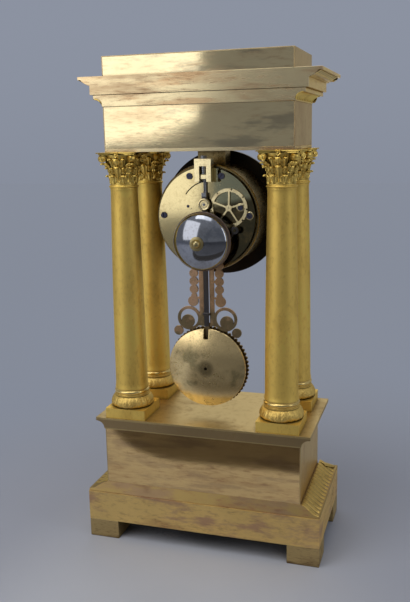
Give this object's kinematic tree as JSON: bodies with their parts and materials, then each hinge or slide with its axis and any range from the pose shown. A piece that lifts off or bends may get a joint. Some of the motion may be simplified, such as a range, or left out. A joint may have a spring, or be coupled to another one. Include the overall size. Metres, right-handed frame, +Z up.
{
  "type": "portico clock",
  "caption": "Portico mantel clock: columns on a stepped base carry an entablature, with a hinged glazed dial, a striking drum movement, a bell and a fretted pendulum.",
  "frame": {"origin": "on the shelf, under the middle of the clock's width and depth", "axes": "+Z up, the dial looks along -Y, +X to the right seen from the dial side"},
  "size_m": [0.239, 0.128, 0.48],
  "materials": {
    "gilt_bronze": "matte gilt",
    "worn_bronze": "worn gilt",
    "back_brass": "polished, tarnished in places",
    "drum_brass": "polished, darkened",
    "dark_bronze": "patinated nearly black",
    "movement_brass": "polished",
    "fret_brass": "coppery, worn",
    "bell_metal": "polished",
    "steel": "fine ground",
    "blued_steel": "blued",
    "enamel": "glossy enamel",
    "glass": "clear"
  },
  "bodies": {
    "case": {"feet": "worn_bronze", "plinth": "worn_bronze", "plinth_moulding": "gilt_bronze", "die_case": "gilt_bronze", "die_back_panel": "back_brass", "base_cap": "worn_bronze", "column_bases": "gilt_bronze", "column_shafts": "gilt_bronze", "column_capitals": "gilt_bronze", "tie_rods": "steel", "tie_rod_nuts": "steel", "soffit_plate": "back_brass", "frieze_case": "gilt_bronze", "frieze_back_panel": "back_brass", "bed_moulding": "gilt_bronze", "cornice": "gilt_bronze", "attic_case": "gilt_bronze", "attic_back_panel": "back_brass", "drum": "drum_brass", "dial_flange": "dark_bronze", "hanger_bracket": "drum_brass", "hanger_screws": "steel", "front_plate": "movement_brass", "back_plate": "movement_brass", "plate_pillars": "movement_brass", "pillar_screws": "blued_steel", "bell": "bell_metal", "bell_stand": "movement_brass", "bell_nut": "movement_brass", "suspension_cock": "movement_brass", "dial": "enamel", "hinge_pin": "movement_brass"},
    "pendulum": {"suspension_spring": "steel", "pendulum_rod": "steel", "pendulum_fret": "fret_brass", "pendulum_bob": "back_brass", "bob_rim": "gilt_bronze"},
    "crutch": {"pallet_anchor": "steel"},
    "going_barrel_body": {"going_barrel": "movement_brass"},
    "going_arbor_body": {"going_arbor": "steel"},
    "intermediate": {"intermediate_wheel": "movement_brass"},
    "centre": {"centre_wheel": "movement_brass"},
    "third": {"third_wheel": "movement_brass"},
    "escape": {"escape_wheel": "movement_brass"},
    "strike_barrel_body": {"strike_barrel": "movement_brass"},
    "strike_arbor_body": {"strike_arbor": "steel"},
    "second": {"strike_second_wheel": "movement_brass", "count_wheel": "movement_brass"},
    "pin": {"pin_wheel": "movement_brass"},
    "stop": {"stop_wheel": "movement_brass"},
    "fly_body": {"fly": "movement_brass"},
    "hammer_body": {"hammer": "steel"},
    "rating": {"rating_screw": "steel"},
    "minute": {"cannon_pinion": "steel", "minute_hand": "blued_steel"},
    "minute_idler": {"minute_wheel": "movement_brass"},
    "hour": {"hour_wheel": "movement_brass", "hour_hand": "blued_steel"},
    "door": {"bezel": "gilt_bronze", "glass": "glass"}
  },
  "joints": [
    {"name": "pendulum_swing", "type": "hinge", "parent": "case", "child": "pendulum", "pos_m": [0, 0.026, 0.36551], "axis": [0, 1, 0], "range_deg": [-4, 4]},
    {"name": "crutch_swing", "type": "hinge", "parent": "case", "child": "crutch", "pos_m": [0, 0.01975, 0.36551], "axis": [0, 1, 0], "range_deg": [-4, 4]},
    {"name": "third_spin", "type": "hinge", "parent": "case", "child": "third", "pos_m": [-0.005, 0.01975, 0.34072], "axis": [0, 1, 0], "continuous": true},
    {"name": "escape_spin", "type": "hinge", "parent": "case", "child": "escape", "pos_m": [0, 0.01975, 0.35101], "axis": [0, 1, 0], "continuous": true},
    {"name": "centre_spin", "type": "hinge", "parent": "case", "child": "centre", "pos_m": [0, 0.01975, 0.3285], "axis": [0, 1, 0], "continuous": true},
    {"name": "intermediate_spin", "type": "hinge", "parent": "case", "child": "intermediate", "pos_m": [0.015, 0.01975, 0.33751], "axis": [0, 1, 0], "continuous": true},
    {"name": "going_barrel_spin", "type": "hinge", "parent": "case", "child": "going_barrel_body", "pos_m": [0.0215, 0.01975, 0.3151], "axis": [0, 1, 0], "continuous": true},
    {"name": "stop_spin", "type": "hinge", "parent": "case", "child": "stop", "pos_m": [-0.02068, 0.01975, 0.35382], "axis": [0, 1, 0], "continuous": true},
    {"name": "fly_spin", "type": "hinge", "parent": "case", "child": "fly_body", "pos_m": [-0.01432, 0.01975, 0.36019], "axis": [0, 1, 0], "continuous": true},
    {"name": "pin_spin", "type": "hinge", "parent": "case", "child": "pin", "pos_m": [-0.03051, 0.01975, 0.35138], "axis": [0, 1, 0], "continuous": true},
    {"name": "second_spin", "type": "hinge", "parent": "case", "child": "second", "pos_m": [-0.02301, 0.01975, 0.33838], "axis": [0, 1, 0], "continuous": true},
    {"name": "strike_barrel_spin", "type": "hinge", "parent": "case", "child": "strike_barrel_body", "pos_m": [-0.0215, 0.01975, 0.3151], "axis": [0, 1, 0], "continuous": true},
    {"name": "going_winding", "type": "hinge", "parent": "case", "child": "going_arbor_body", "pos_m": [0.0215, -0.02175, 0.3151], "axis": [0, 1, 0], "range_deg": [0, 1800]},
    {"name": "strike_winding", "type": "hinge", "parent": "case", "child": "strike_arbor_body", "pos_m": [-0.0215, -0.02175, 0.3151], "axis": [0, 1, 0], "range_deg": [0, 1800]},
    {"name": "hammer_lift", "type": "hinge", "parent": "case", "child": "hammer_body", "pos_m": [-0.031, 0.0302, 0.318], "axis": [0, -1, 0], "range_deg": [0, 10], "stiffness_Nm_per_rad": 0.02, "springref_deg": -17.19},
    {"name": "rating_turn", "type": "hinge", "parent": "case", "child": "rating", "pos_m": [0, 0.026, 0.38151], "axis": [0, 0, 1], "range_deg": [-720, 720]},
    {"name": "minute_set", "type": "hinge", "parent": "case", "child": "minute", "pos_m": [0, -0.02575, 0.3285], "axis": [0, 1, 0], "continuous": true},
    {"name": "minute_idler_spin", "type": "hinge", "parent": "case", "child": "minute_idler", "pos_m": [0.008, -0.02575, 0.34236], "axis": [0, 1, 0], "continuous": true},
    {"name": "hour_spin", "type": "hinge", "parent": "case", "child": "hour", "pos_m": [0, -0.02775, 0.3285], "axis": [0, 1, 0], "continuous": true},
    {"name": "door_hinge", "type": "hinge", "parent": "case", "child": "door", "pos_m": [0.0655, -0.0415, 0.3285], "axis": [0, 0, 1], "range_deg": [0, 95]}
  ],
  "couplings": [
    {"joint": "crutch_swing", "follows": "pendulum_swing", "ratio": 1},
    {"joint": "escape_spin", "follows": "third_spin", "ratio": -10},
    {"joint": "centre_spin", "follows": "third_spin", "ratio": -0.1},
    {"joint": "intermediate_spin", "follows": "third_spin", "ratio": 0.016667},
    {"joint": "going_barrel_spin", "follows": "third_spin", "ratio": -0.0027778},
    {"joint": "fly_spin", "follows": "stop_spin", "ratio": -8},
    {"joint": "pin_spin", "follows": "stop_spin", "ratio": -0.125},
    {"joint": "second_spin", "follows": "stop_spin", "ratio": 0.013889},
    {"joint": "strike_barrel_spin", "follows": "stop_spin", "ratio": -0.0023148},
    {"joint": "minute_idler_spin", "follows": "minute_set", "ratio": -0.33333},
    {"joint": "hour_spin", "follows": "minute_set", "ratio": 0.083333}
  ]
}
